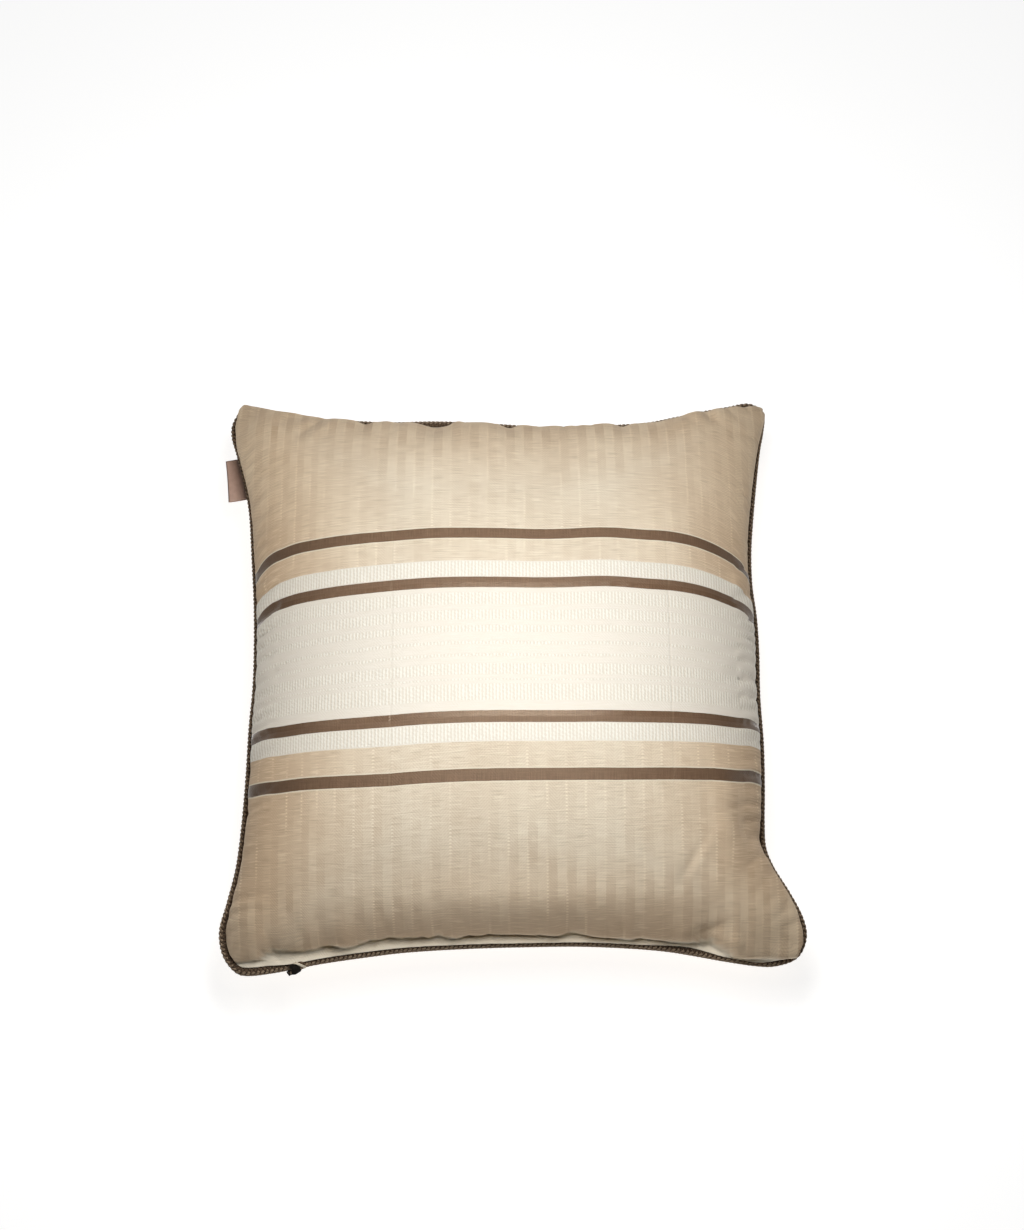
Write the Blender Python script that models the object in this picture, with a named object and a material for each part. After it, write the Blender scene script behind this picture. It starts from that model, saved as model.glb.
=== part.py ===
"""Square filled cushion with a corded seam and a small side label.

The cushion lies on its back. +X is its right, +Y its top edge, +Z its front face.
"""
import math

import bmesh
import bpy
import numpy as np
from mathutils import Vector

MM = 0.001

# Cord sewn round the seam
CORD_RADIUS = 3.75 * MM
GAP = 0.45 * MM
GROOVE_ANGLES = (60.0, 30.0, 0.0, -30.0, -60.0)

# Crown of each face above and below the seam
FRONT_CROWN = 73.0 * MM
BACK_CROWN = 69.0 * MM
FULLNESS = 0.84
FLAT_LEDGE = 7.0 * MM
HALF_SPAN = 212.0 * MM

# Cloth rows, as distances in from the seam
ROW_DISTANCES = (0, 4, 9, 16, 25, 36, 49, 63, 78, 94, 111, 128, 145, 162, 179, 196, 212)

# How far the front cloth bulges outward over the cord, in mm: share of the side, bulge
BULGES = (
    ((0.0, 0), (1.0, 0)),
    ((0.0, 0), (0.2, 1), (0.3, 8), (0.9, 8), (1.0, 8)),
    ((0.0, 8), (0.1, 5), (0.9, 5), (1.0, 8)),
    ((0.0, 8), (0.1, 8), (0.65, 8), (0.8, 4), (0.9, 0), (1.0, 0)),
)

# Woven label folded in half and caught behind the cord
LABEL_THICKNESS = 1.0 * MM
LABEL_LENGTH = 40.0 * MM
LABEL_REACH = 18.0 * MM
LABEL_SKEW = 5.5 * MM
LABEL_TUCK = 1.4 * MM
LABEL_PLACE = 0.131

# Seam line in mm, anticlockwise from the lower left corner: x, y, height
SEAM_LINE = (
    (-221, -243, 55), (-211, -246, 56), (-188, -243.5, 57), (-154, -237.5, 59), (-117, -232.5, 60),
    (-81, -228.5, 60), (-32, -226, 60), (17, -225, 60), (60, -225, 60), (100, -227, 60),
    (128, -229.5, 59), (150, -233, 58), (175, -237.5, 57), (200, -241, 55), (216, -241, 54),
    (232, -235, 53), (239, -221, 53), (237, -206, 54), (228, -187, 55), (215, -165, 57),
    (208, -148, 58), (207, -128, 59), (208.5, -98, 60), (209.5, -60, 60), (209.5, -18, 60),
    (209.5, 22, 60), (207.5, 52, 60), (206.5, 82, 60), (207.5, 112, 60), (210, 142, 60),
    (214.5, 177, 60), (220, 207, 59), (225, 229, 58), (226, 244, 57), (216, 251.5, 57),
    (198, 247.5, 58), (178, 241.5, 59), (150, 234.5, 60), (125, 230, 60), (90, 228, 60),
    (48, 227, 60), (-5, 228.5, 60), (-58, 230.5, 60), (-103, 232, 60), (-140, 234, 60),
    (-172, 237, 60), (-195, 242.5, 59), (-215, 249.5, 58), (-231.5, 249, 57), (-239, 238, 57),
    (-239, 225, 58), (-234, 208, 59), (-227, 182, 60), (-221, 152, 60), (-217.5, 112, 60),
    (-214, 67, 60), (-212.5, 27, 60), (-212.5, -8, 60), (-214.5, -43, 60), (-215.5, -83, 60),
    (-217.5, -123, 59), (-221, -160, 58), (-227.5, -190, 57), (-233, -213, 56), (-230, -231, 55),
)
CORNER_ROWS = (0, 15, 33, 48)

# Gathers and creases pressed into the faces, in mm and degrees:
# face, x, y, direction, half length, half width, depth
FOLDS = (
    ("front", -175, 228, 55, 14, 6, 3.0),
    ("front", 142, -214, 25, 22, 7, 4.0),
    ("front", 196, -120, 20, 20, 9, 3.5),
    ("front", -203, -92, 160, 18, 8, 2.5),
    ("front", -203, 60, 175, 22, 9, 2.5),
    ("front", 200, 70, 5, 22, 9, 2.5),
    ("front", -60, -214, 95, 16, 9, 2.0),
    ("front", 40, -214, 85, 16, 9, 2.0),
    ("front", -110, -214, 100, 18, 9, 2.5),
    ("front", -70, 218, 85, 16, 9, 2.0),
    ("front", 60, 216, 95, 16, 9, 2.0),
    ("back", -60, -212, 92, 22, 10, 3.0),
    ("back", 45, -210, 86, 22, 10, 3.0),
    ("back", -50, 215, 88, 22, 10, 3.0),
    ("back", 70, 213, 94, 22, 10, 3.0),
    ("back", -198, -40, 178, 22, 10, 3.0),
    ("back", -198, 70, 3, 22, 10, 3.0),
    ("back", 194, -50, 182, 22, 10, 3.0),
    ("back", 192, 60, 176, 22, 10, 3.0),
)

# Join of the cord near the lower left corner: distances along the seam in mm
JOIN_LEFT_END = 54.0
JOIN_RIGHT_START = 61.0
TAIL_LENGTH = 18.0
TAIL_OUTWARD = 5.8 * MM
TAIL_RISE = 6.0 * MM
TAIL_SHAPE = ((1.0, 0.35), (0.9, 0.8), (0.7, 1.0), (0.5, 1.0), (0.3, 1.0), (0.15, 1.0))


def smooth_loop(rows, steps=24):
    """Points of a closed Catmull-Rom curve through the rows, with the corners' indices."""
    knots = np.array(rows, dtype=float) * MM
    count = len(knots)
    points = []
    for i in range(count):
        a, b, c, d = (knots[(i + k) % count] for k in (-1, 0, 1, 2))
        for step in range(steps):
            t = step / steps
            slope = (c - a) * t + (2 * a - 5 * b + 4 * c - d) * t * t
            points.append(b + 0.5 * (slope + (3 * b - a - 3 * c + d) * t ** 3))
    return np.array(points)


SEAM_POINTS = smooth_loop(SEAM_LINE)
CORNERS = [24 * row for row in CORNER_ROWS]


def seam_lengths():
    """Running length at each seam point and the whole length."""
    steps = np.linalg.norm(np.roll(SEAM_POINTS, -1, axis=0) - SEAM_POINTS, axis=1)
    return np.concatenate(([0.0], np.cumsum(steps)))


LENGTHS = seam_lengths()


def seam_at(length):
    """Cord centre and outward direction at a running length along the seam."""
    length = length % LENGTHS[-1]
    closed = np.vstack((SEAM_POINTS, SEAM_POINTS[:1]))
    centre = np.array([np.interp(length, LENGTHS, closed[:, k]) for k in range(3)])
    near = 3.0 * MM
    ahead = np.array([np.interp((length + near) % LENGTHS[-1], LENGTHS, closed[:, k]) for k in range(3)])
    behind = np.array([np.interp((length - near) % LENGTHS[-1], LENGTHS, closed[:, k]) for k in range(3)])
    along = ahead - behind
    outward = np.array([along[1], -along[0], 0.0])
    return centre, outward / np.linalg.norm(outward)


def side_length(side, fraction):
    """Running length at a fraction of a side, counted anticlockwise."""
    start = LENGTHS[CORNERS[side]]
    end = LENGTHS[CORNERS[side + 1]] if side < 3 else LENGTHS[-1]
    return start + fraction * (end - start)


def groove_point(length, degrees):
    """Point of the cloth groove that holds the cord."""
    centre, outward = seam_at(length)
    angle = math.radians(degrees)
    reach = CORD_RADIUS + GAP
    return centre - outward * reach * math.cos(angle) + np.array([0, 0, reach * math.sin(angle)])


def row_fractions():
    """Fractions of a side at which the cloth rows lie."""
    inner = np.array(ROW_DISTANCES, dtype=float) / (2 * ROW_DISTANCES[-1])
    return np.concatenate((inner, 1.0 - inner[-2::-1]))


FRACTIONS = row_fractions()
COUNT = len(FRACTIONS)


def boundary_length(i, j):
    """Running seam length at a border vertex of the panel grid."""
    if j == 0:
        return side_length(0, FRACTIONS[i])
    if i == COUNT - 1:
        return side_length(1, FRACTIONS[j])
    if j == COUNT - 1:
        return side_length(2, 1.0 - FRACTIONS[i])
    return side_length(3, 1.0 - FRACTIONS[j])


def blend_panel(degrees):
    """Panel grid blended between its four groove edges."""
    grid = np.zeros((COUNT, COUNT, 3))
    last = COUNT - 1
    for k in range(COUNT):
        for i, j in ((k, 0), (last, k), (k, last), (0, k)):
            grid[i, j] = groove_point(boundary_length(i, j), degrees)
    for i in range(1, last):
        for j in range(1, last):
            u = FRACTIONS[i]
            v = FRACTIONS[j]
            lines = (1 - v) * grid[i, 0] + v * grid[i, last] + (1 - u) * grid[0, j] + u * grid[last, j]
            ends = (1 - v) * ((1 - u) * grid[0, 0] + u * grid[last, 0])
            ends = ends + v * ((1 - u) * grid[0, last] + u * grid[last, last])
            grid[i, j] = lines - ends
    return grid


def relax_corners(grid, passes=12):
    """Even out the rows that the rounded corners squeeze."""
    last = COUNT - 1
    corners = [grid[i, j].copy() for i, j in ((0, 0), (last, 0), (last, last), (0, last))]
    for _ in range(passes):
        mean = (grid[:-2, 1:-1] + grid[2:, 1:-1] + grid[1:-1, :-2] + grid[1:-1, 2:]) / 4
        inner = grid[1:-1, 1:-1]
        near = np.min([np.linalg.norm(inner - corner, axis=2) for corner in corners], axis=0)
        weight = 0.8 * np.exp(-(near / (26 * MM)) ** 2)[..., None]
        grid[1:-1, 1:-1] = inner + weight * (mean - inner)
    return grid


def crown_share(distance):
    """Share of the crown reached at a distance in from the seam."""
    inset = min(max(distance / HALF_SPAN, 0.0), 1.0)
    return math.sqrt(1.0 - (1.0 - inset) ** 2)


def edge_distance(fraction):
    return min(fraction, 1.0 - fraction) * 2 * HALF_SPAN


def ledge_width(u):
    """Width of the flat strip of cloth beside the lower seam."""
    fade = min(edge_distance(u) / (60 * MM), 1.0)
    return FLAT_LEDGE * fade


def bulge_over_cord(grid):
    """Push the rows beside each seam outward, so the front cloth stands over the cord."""
    moved = grid.copy()
    last = COUNT - 1
    for i in range(1, last):
        for j in range(1, last):
            u = FRACTIONS[i]
            v = FRACTIONS[j]
            places = ((0, u, v), (1, v, 1 - u), (2, 1 - u, 1 - v), (3, 1 - v, u))
            shifts = []
            for side, along, inward in places:
                amount = np.interp(along, *zip(*BULGES[side]))
                distance = inward * 2 * HALF_SPAN / MM
                swell = amount * (1 - math.exp(-distance / 3)) * math.exp(-distance / 40)
                shifts.append((swell, side, along))
            swell, side, along = max(shifts)
            moved[i, j] += seam_at(side_length(side, along))[1] * swell * MM
    return moved


def raise_front(grid):
    for i in range(1, COUNT - 1):
        for j in range(1, COUNT - 1):
            below = FRACTIONS[j] < 0.5
            along = edge_distance(FRACTIONS[j]) - (ledge_width(FRACTIONS[i]) if below else 0.0)
            share = crown_share(edge_distance(FRACTIONS[i])) * crown_share(along)
            grid[i, j, 2] += FRONT_CROWN * share ** FULLNESS
    return grid


def drop_back(grid):
    for i in range(1, COUNT - 1):
        for j in range(1, COUNT - 1):
            share = crown_share(edge_distance(FRACTIONS[i])) * crown_share(edge_distance(FRACTIONS[j]))
            grid[i, j, 2] -= BACK_CROWN * share ** FULLNESS
    return grid


def grid_normals(grid, sign):
    across = np.gradient(grid, axis=0)
    up = np.gradient(grid, axis=1)
    normals = np.cross(across, up)
    return sign * normals / np.linalg.norm(normals, axis=2)[..., None]


def press_folds(grid, face, sign):
    """Push the gathers and creases into a panel along its surface normal."""
    normals = grid_normals(grid, sign)
    depth = np.zeros((COUNT, COUNT))
    for side, x, y, degrees, half_length, half_width, sink in FOLDS:
        if side != face:
            continue
        turn = math.radians(degrees)
        dx = grid[..., 0] / MM - x
        dy = grid[..., 1] / MM - y
        along = (dx * math.cos(turn) + dy * math.sin(turn)) / half_length
        across = (dy * math.cos(turn) - dx * math.sin(turn)) / half_width
        depth += sink * MM * np.exp(-along ** 2 - across ** 2)
    depth[:2] = 0
    depth[-2:] = 0
    depth[:, :2] = 0
    depth[:, -2:] = 0
    return grid - normals * depth[..., None]


def front_panel():
    grid = bulge_over_cord(relax_corners(blend_panel(GROOVE_ANGLES[0])))
    return press_folds(raise_front(grid), "front", 1.0)


def back_panel():
    grid = relax_corners(blend_panel(GROOVE_ANGLES[-1]))
    grid = press_folds(drop_back(grid), "back", -1.0)
    grid[..., 2] = np.maximum(grid[..., 2], 0.0)
    return grid


def add_panel(bm, grid):
    """Grid mesh bent to a panel; returns its border vertices by grid position."""
    made = bmesh.ops.create_grid(bm, x_segments=COUNT - 1, y_segments=COUNT - 1, size=1.0)
    border = {}
    for vertex in made["verts"]:
        i = round((vertex.co.x + 1) / 2 * (COUNT - 1))
        j = round((vertex.co.y + 1) / 2 * (COUNT - 1))
        vertex.co = grid[i, j]
        if i in (0, COUNT - 1) or j in (0, COUNT - 1):
            border[vertex] = boundary_length(i, j)
    return border


def add_groove(bm, border):
    """Extrude the front panel's border down through the cord groove."""
    ring = border
    for degrees in GROOVE_ANGLES[1:]:
        edges = [e for e in bm.edges if e.is_boundary and e.verts[0] in ring and e.verts[1] in ring]
        places = {vertex.co.copy().freeze(): length for vertex, length in ring.items()}
        made = bmesh.ops.extrude_edge_only(bm, edges=edges)
        ring = {}
        for item in made["geom"]:
            if isinstance(item, bmesh.types.BMVert):
                ring[item] = places[item.co.copy().freeze()]
        for vertex, length in ring.items():
            vertex.co = groove_point(length, degrees)


def cushion_mesh():
    bm = bmesh.new()
    border = add_panel(bm, front_panel())
    add_groove(bm, border)
    add_panel(bm, back_panel())
    bmesh.ops.remove_doubles(bm, verts=bm.verts, dist=0.01 * MM)
    bmesh.ops.recalc_face_normals(bm, faces=bm.faces)
    mesh = bpy.data.meshes.new("cushion")
    bm.to_mesh(mesh)
    bm.free()
    return mesh


def cord_stations():
    """Cord centre points and radius factors, from the tucked end round to the turned-out tail."""
    whole = LENGTHS[-1]
    start = JOIN_RIGHT_START * MM
    end = whole + JOIN_LEFT_END * MM
    lengths = sorted({boundary_length(i, j) for i in range(COUNT) for j in range(COUNT)
                      if i in (0, COUNT - 1) or j in (0, COUNT - 1)})
    inner = [s for s in lengths + [s + whole for s in lengths] if start + 4 * MM < s < end - 4 * MM]
    stations = []
    for length in [start] + inner + [end]:
        stations.append((seam_at(length)[0], 1.0))
    return tail_stations() + stations


def tail_stations():
    """The cord's right-hand end, led outward and forward over the other end."""
    found = []
    for share, scale in TAIL_SHAPE:
        length = (JOIN_RIGHT_START - TAIL_LENGTH * share) * MM
        centre, outward = seam_at(length)
        ease = min(1.6 * share, 1.0) ** 2 * (3 - 2 * min(1.6 * share, 1.0))
        centre = centre + outward * TAIL_OUTWARD * ease
        centre[2] += TAIL_RISE * ease ** 1.4
        found.append((centre, scale))
    return found


def cord_curve():
    curve = bpy.data.curves.new("piping", "CURVE")
    curve.dimensions = "3D"
    curve.bevel_depth = CORD_RADIUS
    curve.bevel_resolution = 2
    curve.use_fill_caps = True
    curve.twist_mode = "Z_UP"
    stations = cord_stations()
    spline = curve.splines.new("POLY")
    spline.points.add(len(stations) - 1)
    for point, (centre, factor) in zip(spline.points, stations):
        point.co = (*centre, 1.0)
        point.radius = factor
    return curve


def label_root(run):
    """Cord centre beside the label, from one end of the label (-0.5) to the other (0.5)."""
    return Vector(seam_at(side_length(3, LABEL_PLACE) + run * LABEL_LENGTH)[0])


def label_mesh():
    """Thin folded tape that leaves the seam behind the cord and lifts a little."""
    outward = Vector(seam_at(side_length(3, LABEL_PLACE))[1])
    bm = bmesh.new()
    bmesh.ops.create_cube(bm, size=1.0)
    cuts = [edge for edge in bm.edges if abs((edge.verts[0].co - edge.verts[1].co).x) > 0.5]
    bmesh.ops.subdivide_edges(bm, edges=cuts, cuts=5, use_grid_fill=True)
    cuts = [edge for edge in bm.edges if abs((edge.verts[0].co - edge.verts[1].co).y) > 0.5]
    bmesh.ops.subdivide_edges(bm, edges=cuts, cuts=5, use_grid_fill=True)
    for vertex in bm.verts:
        reach = vertex.co.x + 0.5
        run = vertex.co.y
        fold = 0.45 if reach > 0.99 else 1.0
        height = -CORD_RADIUS - GAP - LABEL_THICKNESS * (0.5 - vertex.co.z * fold)
        lift = 2.4 * MM * reach * reach + 1.0 * MM * reach * math.sin(3.0 * run + 0.6)
        extent = LABEL_REACH + LABEL_SKEW * run + LABEL_TUCK
        place = label_root(run) + outward * (reach * extent - LABEL_TUCK)
        vertex.co = place + Vector((0, 0, height + lift))
    mesh = bpy.data.meshes.new("label")
    bm.to_mesh(mesh)
    bm.free()
    return mesh


def cloth_material(name, colour, roughness):
    material = bpy.data.materials.new(name)
    material.use_nodes = True
    shader = material.node_tree.nodes["Principled BSDF"]
    shader.inputs["Base Color"].default_value = (*colour, 1.0)
    shader.inputs["Roughness"].default_value = roughness
    shader.inputs["Metallic"].default_value = 0.0
    return material


def add_object(collection, name, data, material):
    item = bpy.data.objects.new(name, data)
    data.materials.append(material)
    collection.objects.link(item)
    return item


def main():
    for item in list(bpy.data.objects):
        bpy.data.objects.remove(item, do_unlink=True)
    collection = bpy.data.collections.new("corded_cushion")
    bpy.context.scene.collection.children.link(collection)
    cover = cloth_material("cover_fabric", (0.61, 0.49, 0.35), 0.9)
    braid = cloth_material("piping_braid", (0.07, 0.045, 0.026), 0.8)
    tape = cloth_material("label_tape", (0.27, 0.155, 0.122), 0.8)
    cushion = add_object(collection, "cushion", cushion_mesh(), cover)
    cushion.data.shade_smooth()
    add_object(collection, "piping", cord_curve(), braid)
    add_object(collection, "label", label_mesh(), tape)


main()
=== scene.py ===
import functools
import math

import bmesh
import bpy
import numpy as np
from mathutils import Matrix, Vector, noise


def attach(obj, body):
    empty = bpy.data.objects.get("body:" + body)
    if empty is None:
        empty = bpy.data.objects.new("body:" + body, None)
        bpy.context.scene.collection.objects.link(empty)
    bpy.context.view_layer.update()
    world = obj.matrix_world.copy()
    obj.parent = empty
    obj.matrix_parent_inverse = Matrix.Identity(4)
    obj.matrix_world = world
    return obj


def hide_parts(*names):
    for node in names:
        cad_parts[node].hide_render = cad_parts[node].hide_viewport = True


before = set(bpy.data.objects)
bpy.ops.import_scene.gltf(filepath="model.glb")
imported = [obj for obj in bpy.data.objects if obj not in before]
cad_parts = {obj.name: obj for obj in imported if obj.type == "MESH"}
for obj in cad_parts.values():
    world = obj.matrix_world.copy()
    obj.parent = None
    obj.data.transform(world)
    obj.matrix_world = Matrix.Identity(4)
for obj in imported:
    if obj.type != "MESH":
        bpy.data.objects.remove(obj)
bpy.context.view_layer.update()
mm = 0.001


def meshPiece(bm, name, turnOut=True):  # the object of a finished bmesh
    if turnOut:
        bmesh.ops.recalc_face_normals(bm, faces=bm.faces)
    mesh = bpy.data.meshes.new(name)
    bm.to_mesh(mesh)
    bm.free()
    piece = bpy.data.objects.new(name, mesh)
    bpy.context.scene.collection.objects.link(piece)
    return piece


def applyModifier(piece, name):
    bpy.ops.object.select_all(action="DESELECT")
    bpy.context.view_layer.objects.active = piece
    piece.select_set(True)
    bpy.ops.object.modifier_apply(modifier=name)
    piece.select_set(False)


# Seam line of the cover in mm, anticlockwise from the lower left corner: x, y, height
seamLine = {
    "points": (
        (-221, -243, 55), (-211, -246, 56), (-188, -243.5, 57), (-154, -237.5, 59), (-117, -232.5, 60),
        (-81, -228.5, 60), (-32, -226, 60), (17, -225, 60), (60, -225, 60), (100, -227, 60),
        (128, -229.5, 59), (150, -233, 58), (175, -237.5, 57), (200, -241, 55), (216, -241, 54),
        (232, -235, 53), (239, -221, 53), (237, -206, 54), (228, -187, 55), (215, -165, 57),
        (209, -148, 58), (208.5, -128, 59), (210, -98, 60), (211, -60, 60), (210, -18, 60),
        (211, 22, 60), (210.5, 52, 60), (208, 82, 60), (208.5, 112, 60), (211.5, 142, 60),
        (216, 177, 60), (220.5, 207, 59), (225, 229, 58), (226, 244, 57), (216, 251.5, 57),
        (198, 248, 58), (178, 243, 61), (150, 236, 63), (125, 231, 63), (90, 229, 62),
        (48, 227, 61), (-5, 230, 64), (-58, 232.5, 65), (-103, 233, 63), (-140, 235, 63),
        (-172, 238, 62), (-195, 242.5, 60), (-215, 249.5, 58), (-231.5, 249, 57), (-239, 238, 57),
        (-239, 225, 58), (-234, 208, 59), (-227, 182, 60), (-221, 152, 60), (-217.5, 112, 60),
        (-214, 67, 60), (-212.5, 27, 60), (-212.5, -8, 60), (-214.5, -43, 60), (-215.5, -83, 60),
        (-217.5, -123, 59), (-221, -160, 58), (-227.5, -190, 57), (-233, -213, 56), (-230, -231, 55),
    ),
    "corners": (0, 15, 33, 48),
    "steps": 24,
}


def smoothLoop(rows, steps):  # closed smooth curve through the points
    knots = np.array(rows, dtype=float) * mm
    found = []
    for i in range(len(knots)):
        a, b, c, d = (knots[(i + k) % len(knots)] for k in (-1, 0, 1, 2))
        for step in range(steps):
            t = step / steps
            bend = (c - a) * t + (2 * a - 5 * b + 4 * c - d) * t * t
            found.append(b + 0.5 * (bend + (3 * b - a - 3 * c + d) * t ** 3))
    return np.array(found + found[:1])


seamPath = smoothLoop(seamLine["points"], seamLine["steps"])
seamRun = np.concatenate(([0.0], np.cumsum(np.linalg.norm(np.diff(seamPath, axis=0), axis=1))))
seamWhole = seamRun[-1]
cornerRuns = [seamRun[seamLine["steps"] * row] for row in seamLine["corners"]] + [seamWhole]


def seamPoint(run):  # points on the seam line at running lengths
    run = np.mod(run, seamWhole)
    return np.stack([np.interp(run, seamRun, seamPath[:, k]) for k in range(3)], axis=-1)


def seamOutward(run, reach=3 * mm):  # level direction out of the cushion
    along = seamPoint(np.asarray(run) + reach) - seamPoint(np.asarray(run) - reach)
    out = np.stack((along[..., 1], -along[..., 0], np.zeros_like(along[..., 0])), axis=-1)
    return out / np.linalg.norm(out, axis=-1, keepdims=True)


def sideRun(side, share):  # running length at a share of one side
    return cornerRuns[side] + np.asarray(share) * (cornerRuns[side + 1] - cornerRuns[side])


# The filled cover: 500 mm square cloth panels, front and back, sizes in mm where nothing else is said
cover = {
    "cut": 500.0,
    "frontCrown": 73.0 * mm,
    "backCrown": 69.0 * mm,
    "fullness": 0.84,
    "roundness": 3.0,
    "halfSpan": 212.0 * mm,
    "sections": (0.44, 0.47),  # width of the middle sections in metres, side to side and up and down
    "ledgeOverhang": 3.0 * mm,
    "overhangReach": (5.0, 22.0),  # rise at which it is full, and its fade up the cloth, in mm
    "cornerEase": (60, 0.8, 24.0 * mm),  # passes, share of each, reach
    "cordRadius": 3.75 * mm,
    "clearance": 0.45 * mm,
    "edgeRows": (0, 1.2, 2.4, 3.7, 5.2, 6.9, 8.8, 11.0, 13.6, 16.8, 20.6, 25.0),
    "rowStep": 5.0,
    "grooveAngles": (60.0, 30.0, 0.0, -30.0, -60.0),
    # how far the cloth beside the seam stands out, in mm, at shares of each side
    "frontBulges": (
        ((0, 0), (1, 0)),
        (
            (0, 2.5), (0.06, 2), (0.12, 0), (0.2, -0.5), (0.3, 0.5), (0.5, 0), (0.7, 0.5), (0.87, 1.5),
            (0.94, 4.5), (1, 8),
        ),
        (
            (0, 8), (0.05, 6.5), (0.1, 3), (0.15, -3), (0.18, -6.5), (0.22, -7), (0.26, -4.5), (0.32, -3),
            (0.4, -3.5), (0.45, -6), (0.5, -4), (0.54, -6.5), (0.58, -8), (0.62, -5.5), (0.7, -6), (0.8, -4),
            (0.85, -5.5), (0.9, -4.5), (0.96, 2), (1, 6),
        ),
        ((0, 8), (0.1, 6), (0.25, 3.5), (0.5, 2), (0.62, 1.2), (0.8, 1), (0.9, 0), (1, 0)),
    ),
    "backBulges": (
        ((0, 3), (1, 3)), ((0, 0), (0.3, 4), (1, 4)), ((0, 4), (1, 4)), ((0, 3), (0.8, 3), (1, 0)),
    ),
    "bulge": (3.0, 40.0, 1, 0.0),  # start and fade from the seam in mm, power of the fade, lift
    "lap": (1.1, 6.5, 2, 0.6),
    "pressedFade": 1.6,  # mm over which the painted light on the pressed strip ends
    # place seen from above and place in the flat cloth, in mm
    "columnTable": ((-262, -285), (-212, -235), (-150, -156), (150, 156), (212, 235), (262, 285)),
    # flat strip of cloth beside the lower seam: share of the side, width in mm
    "ledgeWidths": (
        (0, 3), (0.03, 4.5), (0.05, 4.5), (0.068, 9), (0.09, 11), (0.12, 10.5), (0.15, 9), (0.17, 10.5),
        (0.19, 9), (0.208, 6.7), (0.235, 8.7), (0.282, 10.3), (0.319, 9), (0.355, 8.3), (0.368, 9.7),
        (0.392, 7.2), (0.43, 8.1), (0.466, 9), (0.5, 8.1), (0.539, 7.6), (0.576, 7), (0.598, 8.9),
        (0.622, 6.7), (0.65, 6.2), (0.696, 6.1), (0.724, 6.8), (0.751, 5.9), (0.778, 5.3), (0.797, 5.5),
        (0.815, 7.7), (0.834, 10.2), (0.856, 7.2), (0.879, 3.4), (0.898, 3.2), (0.944, 3), (1, 0),
    ),
    # how far the cloth laps out over the cord, in mm
    "laps": (
        (
            (0, 0), (0.055, 0), (0.07, 2.4), (0.09, 4.5), (0.12, 5.2), (0.2, 4.6), (0.3, 5.2), (0.5, 6.4),
            (0.72, 5.8), (0.785, 2.6), (0.81, 0), (0.83, 2.6), (0.86, 5.4), (0.95, 5.8), (1, 5.8),
        ),
        ((0, 6.3), (0.05, 5.4), (0.1, 2.9), (0.2, 2.3), (0.3, 1.6), (0.45, 1), (0.9, 1), (1, 2.3)),
        ((0, 2), (1, 2)),
        ((0, 4.2), (0.12, 3.6), (0.25, 1.6), (0.6, 0.8), (0.75, 0), (1, 0)),
    ),
}


def clothRows():  # shares of the cut at which the grid's rows lie, closer beside the seams
    half = cover["cut"] / 2
    first = list(cover["edgeRows"])
    count = round((half - first[-1]) / cover["rowStep"])
    inner = list(np.linspace(first[-1], half, count + 1)[1:])
    rows = np.array(first + inner) / cover["cut"]
    return np.concatenate((rows, 1 - rows[-2::-1]))


rows = clothRows()
rowCount = len(rows)


def crownShare(distance):  # height reached at a distance in from the seam, 0 to 1
    inset = np.clip(distance / cover["halfSpan"], 0, 1)
    return np.sqrt(1 - (1 - inset) ** cover["roundness"])


def spreadRows(span, height, ledge):
    # places of the rows across one section, so that equal cloth covers equal arc
    t = (1 - np.cos(np.linspace(0, math.pi, 700))) / 2
    near = np.minimum(t * 2 * cover["halfSpan"] - ledge, (1 - t) * 2 * cover["halfSpan"])
    z = height * crownShare(near) ** cover["fullness"]
    arc = np.concatenate(([0.0], np.cumsum(np.hypot(np.diff(t) * span, np.diff(z)))))
    return np.interp(rows, arc / arc[-1], t)


def ledgeAt(u):  # width of the flat strip beside the lower seam
    return np.interp(u, *zip(*cover["ledgeWidths"])) * mm


def panelShares(crown, hasLedge):  # place of each grid point across the panel, 0 to 1 each way
    width, length = cover["sections"]
    span = 2 * cover["halfSpan"]
    middleLedge = ledgeAt(0.5) if hasLedge else 0
    middleU = spreadRows(width, crown, 0)
    middleV = spreadRows(length, crown, middleLedge)
    u = np.zeros((rowCount, rowCount))
    v = np.zeros((rowCount, rowCount))
    for k in range(rowCount):
        away = min(middleV[k] * span - middleLedge, (1 - middleV[k]) * span)
        u[:, k] = spreadRows(width, crown * crownShare(max(away, 0)) ** cover["fullness"], 0)
        away = min(middleU[k], 1 - middleU[k]) * span
        ledge = ledgeAt(middleU[k]) if hasLedge else 0
        v[k, :] = spreadRows(length, crown * crownShare(away) ** cover["fullness"], ledge)
    return u, v


def groovePoint(run, degrees):  # place in the groove in which the cord lies
    turn = math.radians(degrees)
    reach = cover["cordRadius"] + cover["clearance"]
    point = seamPoint(run) - seamOutward(run) * reach * math.cos(turn)
    point[..., 2] += reach * math.sin(turn)
    return point


def grooveRing(side, share, degrees):  # the cloth's edge beside the cord
    return groovePoint(sideRun(side, share), degrees)


def blendPanel(u, v, degrees):  # panel blended between its four seams
    bottom = grooveRing(0, u, degrees)
    right = grooveRing(1, v, degrees)
    top = grooveRing(2, 1 - u, degrees)
    left = grooveRing(3, 1 - v, degrees)
    corner = [grooveRing(k, np.array(0.0), degrees) for k in range(4)]
    u = u[..., None]
    v = v[..., None]
    flat = (1 - v) * ((1 - u) * corner[0] + u * corner[1]) + v * ((1 - u) * corner[3] + u * corner[2])
    return (1 - v) * bottom + v * top + (1 - u) * left + u * right - flat


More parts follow.
